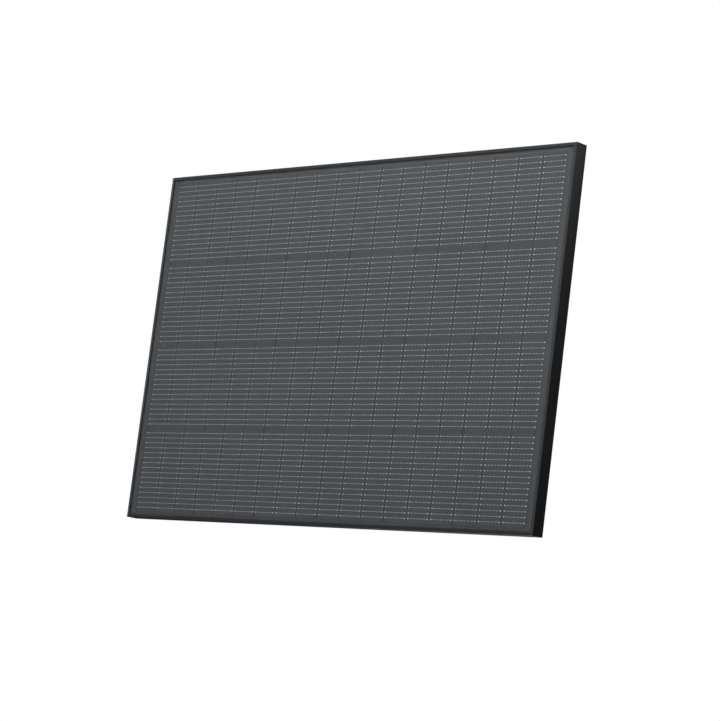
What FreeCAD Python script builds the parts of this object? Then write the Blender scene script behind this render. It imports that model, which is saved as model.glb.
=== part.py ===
import FreeCAD, Part
import Sketcher
import math
import os

# Framed photovoltaic panel, standing upright.
# +X runs along the long side, +Z up along the short side, +Y out of the back.
# Origin: centre of the rear mounting plane (rear faces of the frame flanges at y = 0).
# Sizes are in millimetres. A "depth" is the distance forward of that plane, so y = -depth:
# the glass has the greatest depth and the junction box lid the least.

Vector = FreeCAD.Vector
doc = FreeCAD.newDocument("solar_panel")
sheet = doc.addObject("Spreadsheet::Sheet", "Sheet")

SIZES = dict(
    panel_long=1165.0, panel_short=765.0, frame_deep=30.0,
    # aluminium extrusion
    lip_wide=6.6, lip_thick=1.6, wall_thick=1.5, edge_break=0.4,
    shelf_reach=11.0, shelf_level=22.8, shelf_thick=1.5,
    chamber_low=7.5, flange_long=28.0, flange_short=16.0, flange_thick=1.6,
    mitre_over=2.0, mitre_deep=45.0,
    # slots, earthing holes and drain holes in the long rails
    slot_span=700.0, slot_inset=17.0, slot_length=14.0, slot_width=9.0,
    earth_span=300.0, earth_dia=4.2,
    drain_span=1060.0, drain_dia=3.6, drain_level=4.5,
    # corner keys: straight leg, tapered tip
    key_leg=46.0, key_tip=2.0, key_taper=1.5,
    # laminate, faces given by depth
    glass_half_x=580.0, glass_half_z=380.0,
    glass_front=28.0, glass_rear=24.8, eva_front=24.55, mask_rear=24.45,
    wire_rear=24.25, cell_rear=24.05, eva_gap=23.85, eva_rear=23.45,
    sheet_rear=23.1, eva_inset=1.0,
    # cells and front wires
    cell_wide=60.67, cell_tall=182.0, cell_cut=7.3, col_pitch=62.15, row_pitch=184.8,
    wire_pitch=11.0, wire_wide=0.6, wire_reach=566.8,
    # end masks and the cover over the middle exit lead
    mask_inner=559.5, mask_outer=577.0, mask_half=372.0,
    cover_thick=0.1, cover_end=-540.5, cover_root=6.0, cover_neck=7.9,
    cover_root_half=3.0, cover_half=1.2,
    # ribbons
    bus_inner=562.8, bus_outer=567.8, bus_top=363.0, feed_inner=569.8, feed_outer=574.8,
    feed_drop=86.0, feed_end=17.0, return_short=13.0, link_gap=6.0,
    # exit leads and the insulation pads under the outer two
    exit_side=20.0, exit_thick=0.2, exit_thin=0.1, exit_step=-570.0, exit_bend=-541.0,
    exit_end=-527.0, arch_rise=3.1, arch_end=-515.0, middle_end=-508.0,
    pad_left=-569.4, pad_right=-548.0, pad_half=5.0, pad_thick=0.1,
    # rating plate
    label_left=-250.0, label_right=-120.0, label_low=-262.0, label_high=-180.0,
    label_thick=0.12,
    # junction box base
    box_left=-560.0, box_right=-450.0, box_half=38.0,
    box_floor=22.3, box_top=6.0, floor_thick=2.0, box_wall=3.0, box_round=5.0,
    glue_outer=2.0, glue_inner=9.0,
    boss_inset=6.4, boss_dia=7.0, boss_short=1.0,
    seal_outer=0.9, seal_inner=2.1, seal_deep=1.5,
    pass_left=-546.0, pass_right=-538.0, pass_half=25.0, pass_before=0.5, pass_after=1.5,
    entry_deep=2.0, grip_start=25.0, grip_pitch=15.0, grip_wide=4.0,
    grip_root=0.5, grip_out=1.2, grip_short=3.0,
    # lid and screws
    lid_top=3.0, rib_top=2.4, rib_inset=20.0, rib_low=-22.5, rib_pitch=14.0, rib_wide=3.0,
    screw_dia=3.0, screw_head=5.6, thread_play=0.05, thread_deep=10.0,
    recess_play=0.3, recess_deep=1.6, hole_play=0.1, hole_deep=6.0,
    head_sunk=0.1, head_thick=1.5, shank_start=1.5, shank_length=10.5,
    cross_half=0.35, cross_reach=1.6, cross_deep=0.9,
    # terminal plates and diodes
    plate_thick=1.2, diode_rise=3.4, diode_radius=2.6, diode_start=-526.5, diode_length=9.0,
    stem_left=-532.0, stem_right=-513.0, stem_half=0.4,
    # leads, boots, stripped cores, sleeve and clips
    lead_depth=12.0, lead_side=22.0, cable_dia=6.0, cable_start=-472.0,
    boot_length=16.0, boot_root=7.0, boot_tip=4.4,
    core_length=20.0, core_radius=1.3, tag_left=-492.0, tag_right=-482.0,
    tag_half=1.2, tag_over=1.0,
    sleeve_left=-420.0, sleeve_right=-396.0, sleeve_thick=0.5,
    clip_left=-356.0, clip_right=-344.0, foot_over=4.0, foot_half=10.0, foot_thick=2.0,
    saddle_sunk=1.0, saddle_over=5.0, saddle_half=5.5,
    # swinging part of each lead
    swing_x=-330.0, swing_gap=0.05, bend_start=-300.0, bend_radius=150.0,
    bend_deg=24.0, bend_run=60.0,
    # connectors, positions along the axis counted from plug_x or socket_x
    plug_x=180.0, socket_x=120.0, nut_dia=17.0, thread_dia=12.0, contact_at=14.0,
    thread_gap=0.05, nut_bore_gap=0.3, nut_mouth_gap=1.1,
    flute_start=3.0, flute_length=12.0, flute_out=0.8, flute_radius=1.5,
    slit_start=6.0, slit_end=10.0, slit_half=0.4, slit_reach=6.0,
    arm_half=2.4, ring_at=40.0, ring_major=5.7, ring_minor=0.9,
    window_start=35.0, window_end=40.5, window_half=2.6,
)
CLEAR = 1.0         # how far a cutting tool runs past what it cuts
ROWS = 4            # cell strings
WAFERS = 6          # wafers in a string
STRIPS = 3          # strips cut from a wafer
WIRES = 16          # front wires on a string


class Dim:
    """A size with its number and its spreadsheet expression."""

    def __init__(self, value, text):
        self.value = float(value)
        self.text = text

    def __add__(self, other):
        other = dim(other)
        return Dim(self.value + other.value, "(%s + %s)" % (self.text, other.text))

    def __radd__(self, other):
        return dim(other) + self

    def __sub__(self, other):
        other = dim(other)
        return Dim(self.value - other.value, "(%s - %s)" % (self.text, other.text))

    def __mul__(self, other):
        other = dim(other)
        return Dim(self.value * other.value, "(%s * %s)" % (self.text, other.text))

    def __rsub__(self, other):
        return dim(other) - self

    def __rmul__(self, other):
        return dim(other) * self

    def __truediv__(self, other):
        other = dim(other)
        return Dim(self.value / other.value, "(%s / %s)" % (self.text, other.text))

    def __neg__(self):
        return Dim(-self.value, "(0 - %s)" % self.text)


def dim(size_or_number):
    if isinstance(size_or_number, Dim):
        return size_or_number
    number = float(size_or_number)
    return Dim(number, repr(number) if number >= 0 else "(0 - %s)" % repr(-number))


def sine(angle):
    return Dim(math.sin(math.radians(angle.value)), "sin(%s)" % angle.text)


def cosine(angle):
    return Dim(math.cos(math.radians(angle.value)), "cos(%s)" % angle.text)


class Sizes:
    """Every spreadsheet size, as an attribute of the same name."""


size = Sizes()
for line, (alias, number) in enumerate(SIZES.items(), start=1):
    sheet.set("A%d" % line, alias)
    sheet.set("B%d" % line, repr(number))
    sheet.setAlias("B%d" % line, alias)
    setattr(size, alias, Dim(number, "Sheet.%s" % alias))
doc.recompute()

parts = []      # (node name, object)


def keep(node, obj):
    """Marks an object for export under its node name."""
    obj.Label = node
    parts.append((node, obj))


# ---------------------------------------------------------------- sketches

def new_body(name):
    body = doc.addObject("PartDesign::Body", name)
    body.AllowCompound = True
    return body


def new_sketch(body, name, role, offset=None):
    """Sketch on an origin plane. The XZ plane faces -Y, so its offset is a depth."""
    sketch = body.newObject("Sketcher::SketchObject", name)
    plane = [f for f in body.Origin.OriginFeatures if f.Role == role][0]
    sketch.AttachmentSupport = [(plane, "")]
    sketch.MapMode = "FlatFace"
    if offset is not None:
        offset = dim(offset)
        shift = Vector(0, 0, offset.value)
        sketch.AttachmentOffset = FreeCAD.Placement(shift, FreeCAD.Rotation())
        sketch.setExpression("AttachmentOffset.Base.z", offset.text)
    return sketch


def point(x, y):
    return Vector(dim(x).value, dim(y).value, 0)


def constrain(sketch, kind, *args):
    """Adds a constraint whose last argument is a size, bound to its expression."""
    number = sketch.addConstraint(Sketcher.Constraint(kind, *args[:-1], args[-1].value))
    sketch.setExpression("Constraints[%d]" % number, args[-1].text)


def pin(sketch, geometry, end, x, y):
    """Ties one sketch point to two expressions."""
    constrain(sketch, "DistanceX", -1, 1, geometry, end, dim(x))
    constrain(sketch, "DistanceY", -1, 1, geometry, end, dim(y))


def polygon(sketch, points):
    first = sketch.GeometryCount
    count = len(points)
    following = points[1:] + points[:1]
    lines = [Part.LineSegment(point(*p), point(*q)) for p, q in zip(points, following)]
    sketch.addGeometry(lines, False)
    sketch.addConstraint([
        Sketcher.Constraint("Coincident", first + i, 2, first + (i + 1) % count, 1)
        for i in range(count)])
    for i, (x, y) in enumerate(points):
        pin(sketch, first + i, 1, x, y)


def corners(x0, x1, y0, y1):
    return [(x0, y0), (x1, y0), (x1, y1), (x0, y1)]


def rectangle(sketch, x0, x1, y0, y1):
    polygon(sketch, corners(x0, x1, y0, y1))


def circle(sketch, x, y, radius):
    radius = dim(radius)
    ring = Part.Circle(point(x, y), Vector(0, 0, 1), radius.value)
    geometry = sketch.addGeometry(ring, False)
    pin(sketch, geometry, 3, x, y)
    constrain(sketch, "Radius", geometry, radius)


def slot(sketch, x, y, length, width):
    """Round-ended slot along the first sketch axis."""
    radius = width / 2
    x0, x1 = x - (length / 2 - radius), x + (length / 2 - radius)
    normal, quarter = Vector(0, 0, 1), math.pi / 2
    end = Part.Circle(point(x0, y), normal, radius.value)
    left = sketch.addGeometry(Part.ArcOfCircle(end, quarter, 3 * quarter), False)
    end = Part.Circle(point(x1, y), normal, radius.value)
    right = sketch.addGeometry(Part.ArcOfCircle(end, -quarter, quarter), False)
    top, low = [
        sketch.addGeometry(Part.LineSegment(point(x0, edge), point(x1, edge)), False)
        for edge in (y + radius, y - radius)]
    for joint in ((left, 1, top, 1), (left, 2, low, 1), (right, 1, low, 2), (right, 2, top, 2)):
        sketch.addConstraint(Sketcher.Constraint("Tangent", *joint))
    sketch.addConstraint(Sketcher.Constraint("Equal", left, right))
    constrain(sketch, "Radius", left, radius)
    pin(sketch, left, 3, x0, y)
    pin(sketch, right, 3, x1, y)


# ---------------------------------------------------------------- features

def finish(body, feature):
    doc.recompute()
    body.Tip = feature
    return feature


def pad(body, sketch, length, mid=False, flip=False):
    """Adds material along the sketch normal, or against it when flipped."""
    feature = body.newObject("PartDesign::Pad", sketch.Name + "_pad")
    feature.Profile = sketch
    feature.setExpression("Length", dim(length).text)
    feature.Midplane = mid
    feature.Reversed = flip
    return finish(body, feature)


def pocket(body, sketch, length=None, mid=False, flip=False):
    """Cuts against the sketch normal, or along it when flipped; no length cuts through all.

    A cut that takes nothing away is an error.
    """
    before = body.Shape.Volume
    feature = body.newObject("PartDesign::Pocket", sketch.Name + "_cut")
    feature.Profile = sketch
    if length is None:
        feature.Type = 1    # through all
    else:
        feature.setExpression("Length", dim(length).text)
    feature.Midplane = mid
    feature.Reversed = flip
    finish(body, feature)
    doc.recompute()
    if not body.Shape.Volume < before - 1e-6:
        raise ValueError("%s cuts nothing" % feature.Name)


def repeat(body, feature, sketch, axis, step, count):
    """Repeats a feature along a sketch axis."""
    pattern = body.newObject("PartDesign::LinearPattern", feature.Name + "_row")
    pattern.Originals = [feature]
    pattern.Direction = (sketch, [axis])
    pattern.Mode = "Spacing"
    pattern.setExpression("Offset", step.text)
    pattern.Occurrences = count
    finish(body, pattern)
    doc.recompute()


def flat_body(name, plan_name, rear, front, outlines):
    """Body of constant outline between two depths."""
    body = new_body(name)
    sketch = new_sketch(body, plan_name, "XZ_Plane", rear)
    for outline in outlines:
        polygon(sketch, outline)
    pad(body, sketch, front - rear)
    return body


def revolve(body, name, x0, lead_z, profile):
    """Turned piece on a lead's axis: profile points are (distance from x0, radius)."""
    sketch = new_sketch(body, name, "XY_Plane", lead_z)
    axis_y = -size.lead_depth
    polygon(sketch, [(x0 + along, axis_y + radius) for along, radius in profile])
    ends = (x0 - 5, axis_y), (x0 + 5, axis_y)
    axis = sketch.addGeometry(Part.LineSegment(point(*ends[0]), point(*ends[1])), True)
    pin(sketch, axis, 1, *ends[0])
    pin(sketch, axis, 2, *ends[1])
    feature = body.newObject("PartDesign::Revolution", name + "_turn")
    feature.Profile = sketch
    feature.ReferenceAxis = (sketch, ["Axis0"])
    feature.Angle = 360
    finish(body, feature)


# ---------------------------------------------------------------- simple solids

def place(obj, x, depth, z):
    obj.setExpression("Placement.Base.x", dim(x).text)
    obj.setExpression("Placement.Base.y", (-dim(depth)).text)
    obj.setExpression("Placement.Base.z", dim(z).text)


def block(name, x0, x1, rear, front, z0, z1):
    """Box between two depths."""
    box = doc.addObject("Part::Box", name)
    box.setExpression("Length", (x1 - x0).text)
    box.setExpression("Width", (front - rear).text)
    box.setExpression("Height", (z1 - z0).text)
    place(box, x0, front, z0)
    return box


def layer(name, half_wide, half_tall, rear, front):
    """Block centred on the panel."""
    return block(name, -half_wide, half_wide, rear, front, -half_tall, half_tall)


def round_solid(kind, name, x, depth, z, **lengths):
    """Round primitive with its axis laid along X."""
    solid = doc.addObject("Part::" + kind, name)
    solid.Placement = FreeCAD.Placement(Vector(0, 0, 0), FreeCAD.Rotation(Vector(0, 1, 0), 90))
    for prop, length in lengths.items():
        solid.setExpression(prop, length.text)
    place(solid, x, depth, z)
    return solid


def rod(name, x0, x1, lead_z, radius):
    """Round bar along X on a lead's axis."""
    return round_solid("Cylinder", name, x0, size.lead_depth, lead_z,
                       Radius=radius, Height=x1 - x0)


def cut(name, base, tool):
    result = doc.addObject("Part::Cut", name)
    result.Base = base
    result.Tool = tool
    return result


def fuse(name, shapes):
    result = doc.addObject("Part::MultiFuse", name)
    result.Shapes = shapes
    return result


def group(name, shapes):
    """Several like solids kept apart in one node."""
    result = doc.addObject("Part::Compound", name)
    result.Links = shapes
    return result


# ---------------------------------------------------------------- frame

half_x = size.panel_long / 2
half_z = size.panel_short / 2
chamber_rear = size.chamber_low + size.wall_thick       # hollow chamber, inside faces
chamber_front = size.shelf_level - size.shelf_thick
chamber_inner = size.shelf_reach - size.wall_thick


def rail_profile(flange):
    """Outer and chamber outlines: (distance in from the panel's edge, depth)."""
    edge, wall, deep = size.edge_break, size.wall_thick, size.frame_deep
    lip, lip_rear = size.lip_wide, size.frame_deep - size.lip_thick
    outer = [
        (edge, 0), (0, edge), (0, deep - edge), (edge, deep),
        (lip, deep), (lip, lip_rear), (wall, lip_rear),
        (wall, size.shelf_level), (size.shelf_reach, size.shelf_level),
        (size.shelf_reach, size.chamber_low), (wall, size.chamber_low),
        (wall, size.flange_thick), (flange, size.flange_thick), (flange, 0),
    ]
    return outer, corners(wall, chamber_inner, chamber_rear, chamber_front)


def cut_mitres(body, node, upright, side):
    """45 degree mitres at both ends."""
    sketch = new_sketch(body, node + "_mitre", "XZ_Plane")
    over, deep = size.mitre_over, size.mitre_deep
    for end in (1, -1):
        sx, sz = (side, end) if upright else (end, side)
        tip = (sx * (half_x + over), sz * (half_z + over))
        root = (sx * (half_x - deep), sz * (half_z - deep))
        third = (root[0], tip[1]) if upright else (tip[0], root[1])
        polygon(sketch, [tip, third, root])
    pocket(body, sketch, mid=True)


def cut_rail_holes(body, node, side):
    # mounting slots and earthing holes through the rear flange
    sketch = new_sketch(body, node + "_slots", "XZ_Plane")
    z = side * (half_z - size.slot_inset)
    for end in (1, -1):
        slot(sketch, end * size.slot_span / 2, z, size.slot_length, size.slot_width)
        circle(sketch, end * size.earth_span / 2, z, size.earth_dia / 2)
    pocket(body, sketch, size.flange_thick * 3, mid=True)
    # drain holes through the outer wall
    sketch = new_sketch(body, node + "_drains", "XY_Plane")
    for end in (1, -1):
        circle(sketch, end * size.drain_span / 2, -size.drain_level, size.drain_dia / 2)
    pocket(body, sketch, flip=(side > 0))


def rail(node, upright, side):
    """side is +1 for the rail on the positive side of its axis."""
    body = new_body(node + "_body")
    if upright:
        flange, reach, length, role = size.flange_short, half_x, size.panel_short, "XY_Plane"
    else:
        flange, reach, length, role = size.flange_long, half_z, size.panel_long, "YZ_Plane"
    section = new_sketch(body, node + "_section", role)
    for outline in rail_profile(flange):
        points = [(side * (reach - inward), -dim(depth)) for inward, depth in outline]
        polygon(section, points if upright else [(y, across) for across, y in points])
    pad(body, section, length, mid=True)
    cut_mitres(body, node, upright, side)
    if not upright:
        cut_rail_holes(body, node, side)
    keep(node, body)


def corner_keys():
    """L-shaped blocks pressed into the hollow chambers, with tapered tips."""
    low, high, leg = size.wall_thick, chamber_inner, size.key_leg
    tip, taper = leg + size.key_tip, size.key_taper
    # (distance in from the short edge, distance in from the long edge)
    outline = [
        (low, low), (low, leg), (low + taper, tip), (high - taper, tip), (high, leg),
        (high, high), (leg, high), (tip, high - taper), (tip, low + taper), (leg, low)]
    outlines = [[(sx * (half_x - a), sz * (half_z - c)) for a, c in outline]
                for sx in (1, -1) for sz in (1, -1)]
    keep("corner_keys", flat_body("corner_keys_body", "corner_keys_plan",
                                  chamber_rear, chamber_front, outlines))


rail("rail_top", False, 1)
rail("rail_bottom", False, -1)
rail("rail_left", True, -1)
rail("rail_right", True, 1)
corner_keys()

# ---------------------------------------------------------------- glass and sheets


def edge_sealant():
    """Fills the rail's channel around the laminate's edge."""
    lip_rear = size.frame_deep - size.lip_thick
    wall, lip, shelf = size.wall_thick, size.lip_wide, size.shelf_reach
    seal = layer("seal_block", half_x - wall, half_z - wall, size.shelf_level, lip_rear)
    spaces = (
        layer("seal_sheet_space", size.glass_half_x, size.glass_half_z,
              size.sheet_rear, size.glass_front),
        layer("seal_front_space", half_x - lip, half_z - lip,
              size.glass_front - CLEAR, lip_rear + CLEAR),
        layer("seal_rear_space", half_x - shelf, half_z - shelf,
              size.shelf_level - CLEAR, size.sheet_rear + CLEAR))
    for name, space in zip(("seal_a", "seal_b", "seal_c"), spaces):
        seal = cut(name, seal, space)
    keep("edge_sealant", seal)


def front_glass():
    """Glass with the edges of its front face ground."""
    body = new_body("front_glass_body")
    sketch = new_sketch(body, "glass_plan", "XZ_Plane", size.glass_rear)
    rectangle(sketch, -size.glass_half_x, size.glass_half_x,
              -size.glass_half_z, size.glass_half_z)
    glass = pad(body, sketch, size.glass_front - size.glass_rear)
    rim = ["Edge%d" % i for i, edge in enumerate(glass.Shape.Edges, start=1)
           if all(abs(v.Point.y + size.glass_front.value) < 1e-6 for v in edge.Vertexes)]
    arris = body.newObject("PartDesign::Chamfer", "glass_arris")
    arris.Base = (glass, rim)
    arris.setExpression("Size", size.edge_break.text)
    finish(body, arris)
    keep("front_glass", body)


def cut_pass(name, sheet_block, space_name):
    """Opening in a rear sheet for the exit leads."""
    space = block(space_name, size.pass_left, size.pass_right,
                  size.sheet_rear - CLEAR, size.eva_gap + CLEAR,
                  -size.pass_half, size.pass_half)
    return cut(name, sheet_block, space)


edge_sealant()
front_glass()
eva_half_x = size.glass_half_x - size.eva_inset
eva_half_z = size.glass_half_z - size.eva_inset
keep("front_encapsulant", layer("front_encapsulant_sheet", eva_half_x, eva_half_z,
                                size.glass_rear, size.eva_front)
     if size.glass_rear.value < size.eva_front.value else
     layer("front_encapsulant_sheet", eva_half_x, eva_half_z,
           size.eva_front, size.glass_rear))
rear_eva = layer("rear_encapsulant_sheet", eva_half_x, eva_half_z, size.eva_rear, size.eva_gap)
keep("rear_encapsulant", cut_pass("rear_encapsulant_cut", rear_eva, "pass_space"))
back_layer = layer("backsheet_sheet", size.glass_half_x, size.glass_half_z,
                   size.sheet_rear, size.eva_rear)
keep("backsheet", cut_pass("backsheet_cut", back_layer, "pass_space_b"))

# ---------------------------------------------------------------- cells and wires


def row_middle(row):
    return ((ROWS - 1) / 2 - row) * size.row_pitch


def cell_row(row):
    """Wafers cut in strips; only a wafer's end strips carry its cropped corners."""
    node = "cell_row_%d" % (row + 1)
    body = new_body(node + "_body")
    wafer = new_sketch(body, node + "_wafer", "XZ_Plane", size.cell_rear)
    z0 = row_middle(row) - size.cell_tall / 2
    z1 = row_middle(row) + size.cell_tall / 2
    crop = size.cell_cut
    for k in range(STRIPS):
        x0 = (k - (STRIPS * WAFERS - 1) / 2) * size.col_pitch - size.cell_wide / 2
        x1 = x0 + size.cell_wide
        if k == 0:
            polygon(wafer, [(x0 + crop, z0), (x1, z0), (x1, z1),
                            (x0 + crop, z1), (x0, z1 - crop), (x0, z0 + crop)])
        elif k == STRIPS - 1:
            polygon(wafer, [(x0, z0), (x1 - crop, z0), (x1, z0 + crop),
                            (x1, z1 - crop), (x1 - crop, z1), (x0, z1)])
        else:
            rectangle(wafer, x0, x1, z0, z1)
    strips = pad(body, wafer, size.wire_rear - size.cell_rear)
    repeat(body, strips, wafer, "H_Axis", STRIPS * size.col_pitch, WAFERS)
    keep(node, body)


def wire_row(row):
    """Flat wires along the front of one string."""
    node = "wire_row_%d" % (row + 1)
    body = new_body(node + "_body")
    strip = new_sketch(body, node + "_strip", "XZ_Plane", size.wire_rear)
    lowest = row_middle(row) - (WIRES - 1) / 2 * size.wire_pitch
    rectangle(strip, -size.wire_reach, size.wire_reach,
              lowest - size.wire_wide / 2, lowest + size.wire_wide / 2)
    wire = pad(body, strip, size.mask_rear - size.wire_rear)
    repeat(body, wire, strip, "V_Axis", size.wire_pitch, WIRES)
    keep(node, body)


for row in range(ROWS):
    cell_row(row)
for row in range(ROWS):
    wire_row(row)

# ---------------------------------------------------------------- masks and ribbons

feed_foot = row_middle(0) - size.feed_drop
ribbon_wide = size.bus_outer - size.bus_inner
floor_rear = size.box_floor - size.floor_thick      # inside face of the box floor
plate_rear = floor_rear - size.plate_thick          # terminal plates, rear face


def end_masks():
    """Black strips hiding the end ribbons, and a cover over the middle exit lead."""
    root = -size.mask_inner
    neck, half, root_half = root + size.cover_neck, size.cover_half, size.cover_root_half
    outline = [
        (root, -root_half), (root + size.cover_root, -root_half), (neck, -half),
        (size.cover_end, -half), (size.cover_end, half),
        (neck, half), (root + size.cover_root, root_half), (root, root_half)]
    cover = flat_body("mask_exit", "mask_exit_plan", size.cell_rear,
                      size.cell_rear + size.cover_thick, [outline])
    sides = [block(name, x0, x1, size.mask_rear, size.eva_front,
                   -size.mask_half, size.mask_half)
             for name, x0, x1 in (("mask_right", size.mask_inner, size.mask_outer),
                                  ("mask_left", -size.mask_outer, -size.mask_inner))]
    keep("end_masks", group("end_masks_group", sides + [cover]))


def feed_ribbons():
    """Ribbons from the outer strings, stepping outward on their way to the exit leads."""
    outlines = [[
        (-size.bus_outer, sz * size.bus_top), (-size.bus_inner, sz * size.bus_top),
        (-size.bus_inner, sz * feed_foot), (-size.feed_inner, sz * feed_foot),
        (-size.feed_inner, sz * size.feed_end), (-size.feed_outer, sz * size.feed_end),
        (-size.feed_outer, sz * (feed_foot + ribbon_wide)),
        (-size.bus_outer, sz * (feed_foot + ribbon_wide))] for sz in (1, -1)]
    keep("feed_ribbons", flat_body("feed_ribbons_body", "feed_plan",
                                   size.cell_rear, size.wire_rear, outlines))


def ribbon(name, x0, x1, z0, z1):
    """Straight ribbon in the plane of the cells."""
    return block(name, x0, x1, size.cell_rear, size.wire_rear, z0, z1)


def exit_lead(number, z, path):
    """Flat lead centred at height z; path points are (x, depth)."""
    body = new_body("exit_lead_%d" % number)
    sketch = new_sketch(body, "exit_lead_%d_path" % number, "XY_Plane", z - ribbon_wide / 2)
    polygon(sketch, [(x, -depth) for x, depth in path])
    pad(body, sketch, ribbon_wide)
    return body


def exit_leads():
    """Leads from the ribbons through the rear sheets into the junction box."""
    front, plate = size.cell_rear, plate_rear
    thick, thin, bend = size.exit_thick, size.exit_thin, size.exit_bend
    outer_path = [
        (-size.feed_outer, front), (size.exit_step, front), (size.exit_step, front - thin),
        (bend, front - thin), (bend, plate), (size.exit_end, plate),
        (size.exit_end, plate - thin), (bend - thin, plate - thin),
        (bend - thin, front - thick), (-size.feed_outer, front - thick)]
    # the middle lead arches over the positive terminal plate
    arch, arch_end = plate - size.arch_rise, size.arch_end
    middle_path = [
        (-size.bus_outer, front), (bend, front), (bend, arch), (arch_end - thick, arch),
        (arch_end - thick, plate), (size.middle_end, plate),
        (size.middle_end, plate - thick), (arch_end, plate - thick),
        (arch_end, arch - thick), (bend - thick, arch - thick),
        (bend - thick, front - thick), (-size.bus_outer, front - thick)]
    keep("exit_leads", group("exit_leads_group", [
        exit_lead(0, size.exit_side, outer_path),
        exit_lead(1, -size.exit_side, outer_path),
        exit_lead(2, dim(0), middle_path)]))


end_masks()
feed_ribbons()
return_half = feed_foot - size.return_short
keep("return_ribbon", ribbon("return_ribbon_strip", -size.bus_outer, -size.bus_inner,
                             -return_half, return_half))
keep("link_ribbons", group("link_ribbons_group", [
    ribbon("link_upper", size.bus_inner, size.bus_outer, size.link_gap, size.bus_top),
    ribbon("link_lower", size.bus_inner, size.bus_outer, -size.bus_top, -size.link_gap)]))
keep("insulation_pads", group("insulation_pads_group", [
    block("insulation_%d" % n, size.pad_left, size.pad_right,
          size.cell_rear - size.pad_thick, size.cell_rear, z - size.pad_half, z + size.pad_half)
    for n, z in enumerate((size.exit_side, -size.exit_side))]))
exit_leads()
keep("rating_label", block("rating_label_sheet", size.label_left, size.label_right,
                           size.sheet_rear - size.label_thick, size.sheet_rear,
                           size.label_low, size.label_high))

# ---------------------------------------------------------------- junction box


def box_outline(inset):
    """Rectangle inside the box's outline: x0, x1, z0, z1."""
    half = size.box_half - inset
    return size.box_left + inset, size.box_right - inset, -half, half


def box_layer(name, inset, rear, front):
    x0, x1, z0, z1 = box_outline(inset)
    return block(name, x0, x1, rear, front, z0, z1)


def rounded_slab(body, name, rear, front):
    """Pads the box's outline and rounds the corner edges that run along Y."""
    sketch = new_sketch(body, name, "XZ_Plane", rear)
    rectangle(sketch, *box_outline(0))
    slab = pad(body, sketch, front - rear)
    names = []
    for i, edge in enumerate(slab.Shape.Edges, start=1):
        run = edge.Vertexes[-1].Point - edge.Vertexes[0].Point
        if run.Length > 0.5 and abs(abs(run.y) - run.Length) < 1e-6:
            names.append("Edge%d" % i)
    fillet = body.newObject("PartDesign::Fillet", slab.Name + "_round")
    fillet.Base = (slab, names)
    fillet.setExpression("Radius", size.box_round.text)
    finish(body, fillet)


def screw_spots():
    x0, x1, z0, z1 = box_outline(size.boss_inset)
    return [(x, z) for x in (x0, x1) for z in (z1, z0)]


def screw_circles(body, name, depth, radius):
    sketch = new_sketch(body, name, "XZ_Plane", depth)
    for x, z in screw_spots():
        circle(sketch, x, z, radius)
    return sketch


def seal_outlines():
    return [corners(*box_outline(inset)) for inset in (size.seal_outer, size.seal_inner)]


def box_base():
    body = new_body("box_base_body")
    top = size.box_top
    rounded_slab(body, "base_plan", top, size.box_floor)
    sketch = new_sketch(body, "base_hollow", "XZ_Plane", top)
    rectangle(sketch, *box_outline(size.box_wall))
    pocket(body, sketch, floor_rear - top, flip=True)
    sketch = screw_circles(body, "base_bosses", top, size.boss_dia / 2)
    pad(body, sketch, size.box_floor - top - size.boss_short)
    sketch = new_sketch(body, "base_groove", "XZ_Plane", top)
    for outline in seal_outlines():
        polygon(sketch, outline)
    pocket(body, sketch, size.seal_deep, flip=True)
    sketch = screw_circles(body, "base_screw_holes", top, size.screw_dia / 2 + size.thread_play)
    pocket(body, sketch, size.thread_deep, flip=True)
    # opening in the floor for the exit leads
    sketch = new_sketch(body, "base_pass", "XZ_Plane", floor_rear - size.pass_before)
    rectangle(sketch, size.pass_left, size.pass_right, -size.pass_half, size.pass_half)
    pocket(body, sketch, size.pass_before + size.floor_thick + size.pass_after, flip=True)
    # cable entries through the wall at box_right
    sketch = new_sketch(body, "base_cable_holes", "YZ_Plane", size.box_right + CLEAR)
    for sign in (1, -1):
        circle(sketch, -size.lead_depth, sign * size.lead_side, cable_radius)
    pocket(body, sketch, CLEAR + size.box_wall + size.entry_deep)
    # ribs on the upper and lower walls
    sketch = new_sketch(body, "base_ribs", "XZ_Plane", top + size.grip_short)
    for k in range(5):
        x = size.box_left + size.grip_start + size.grip_pitch * k
        for sign in (1, -1):
            rectangle(sketch, x, x + size.grip_wide, sign * (size.box_half - size.grip_root),
                      sign * (size.box_half + size.grip_out))
    pad(body, sketch, size.box_floor - top - size.grip_short)
    keep("box_base", body)


def box_lid():
    body = new_body("box_lid_body")
    top = size.lid_top
    rounded_slab(body, "lid_plan", top, size.box_top)
    sketch = screw_circles(body, "lid_recesses", top, size.screw_head / 2 + size.recess_play)
    pocket(body, sketch, size.recess_deep, flip=True)
    sketch = screw_circles(body, "lid_holes", top, size.screw_dia / 2 + size.hole_play)
    pocket(body, sketch, size.hole_deep, flip=True)
    sketch = new_sketch(body, "lid_ribs", "XZ_Plane", top)
    for k in range(4):
        z = size.rib_low + size.rib_pitch * k
        rectangle(sketch, size.box_left + size.rib_inset, size.box_right - size.rib_inset,
                  z, z + size.rib_wide)
    pad(body, sketch, top - size.rib_top, flip=True)
    keep("box_lid", body)


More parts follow.
